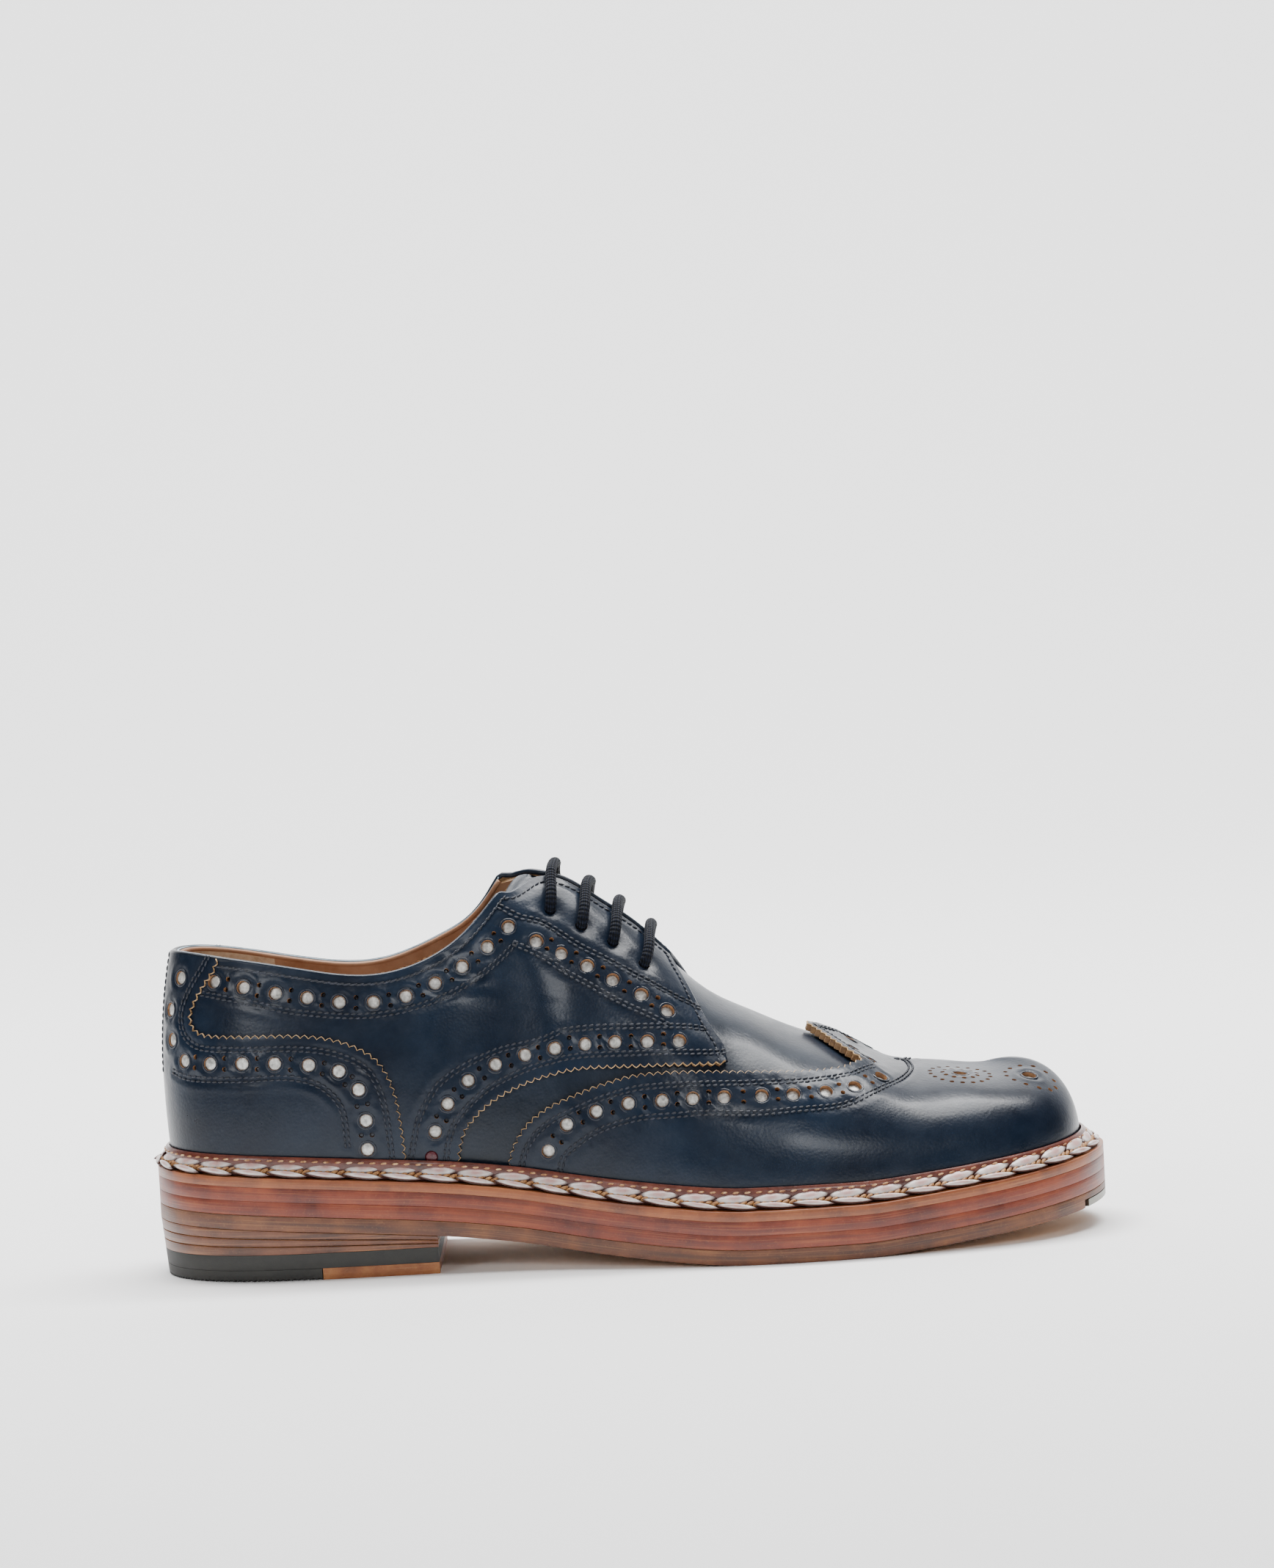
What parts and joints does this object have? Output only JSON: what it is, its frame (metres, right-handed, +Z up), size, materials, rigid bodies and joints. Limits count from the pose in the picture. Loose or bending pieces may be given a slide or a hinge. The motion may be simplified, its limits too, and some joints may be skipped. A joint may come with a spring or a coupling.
{
  "type": "brogue shoe",
  "caption": "Right open-laced wingtip dress shoe with perforated overlays, stacked leather heel, thick triple sole and a braided storm welt.",
  "frame": {"origin": "centre of the bounding box in plan, on the floor under the sole", "axes": "+X from heel to toe, +Y towards the inner side of this right shoe, +Z up"},
  "size_m": [0.304, 0.1141, 0.1247],
  "materials": {
    "navy": "polished grained calf",
    "lining": "smooth lining leather",
    "sole_red": "burnished red-brown edge",
    "welt_tan": "waxed tan edge",
    "sole_dark": "dyed dark brown edge",
    "rubber": "matt black",
    "braid": "waxed plaited thong",
    "lace": "round woven cord",
    "steel": "worn plate"
  },
  "bodies": {
    "root": {"outsole": "sole_dark", "toe_plate": "steel", "midsole_lower": "sole_red", "midsole_upper": "sole_red", "welt": "welt_tan", "insole": "lining", "toplift_rubber": "rubber", "toplift_leather": "sole_dark", "heel_rubber": "rubber", "heel_lift_1": "sole_dark", "heel_lift_2": "sole_dark", "heel_lift_3": "sole_dark", "upper": "navy", "tongue": "navy", "storm_rand": "sole_red", "welt_braid": "braid", "quarter_lateral": "navy", "quarter_medial": "navy", "counter": "navy", "wing_cap": "navy", "lace_bar_1": "lace", "lace_bar_2": "lace", "lace_bar_3": "lace", "lace_bar_4": "lace"}
  },
  "joints": []
}
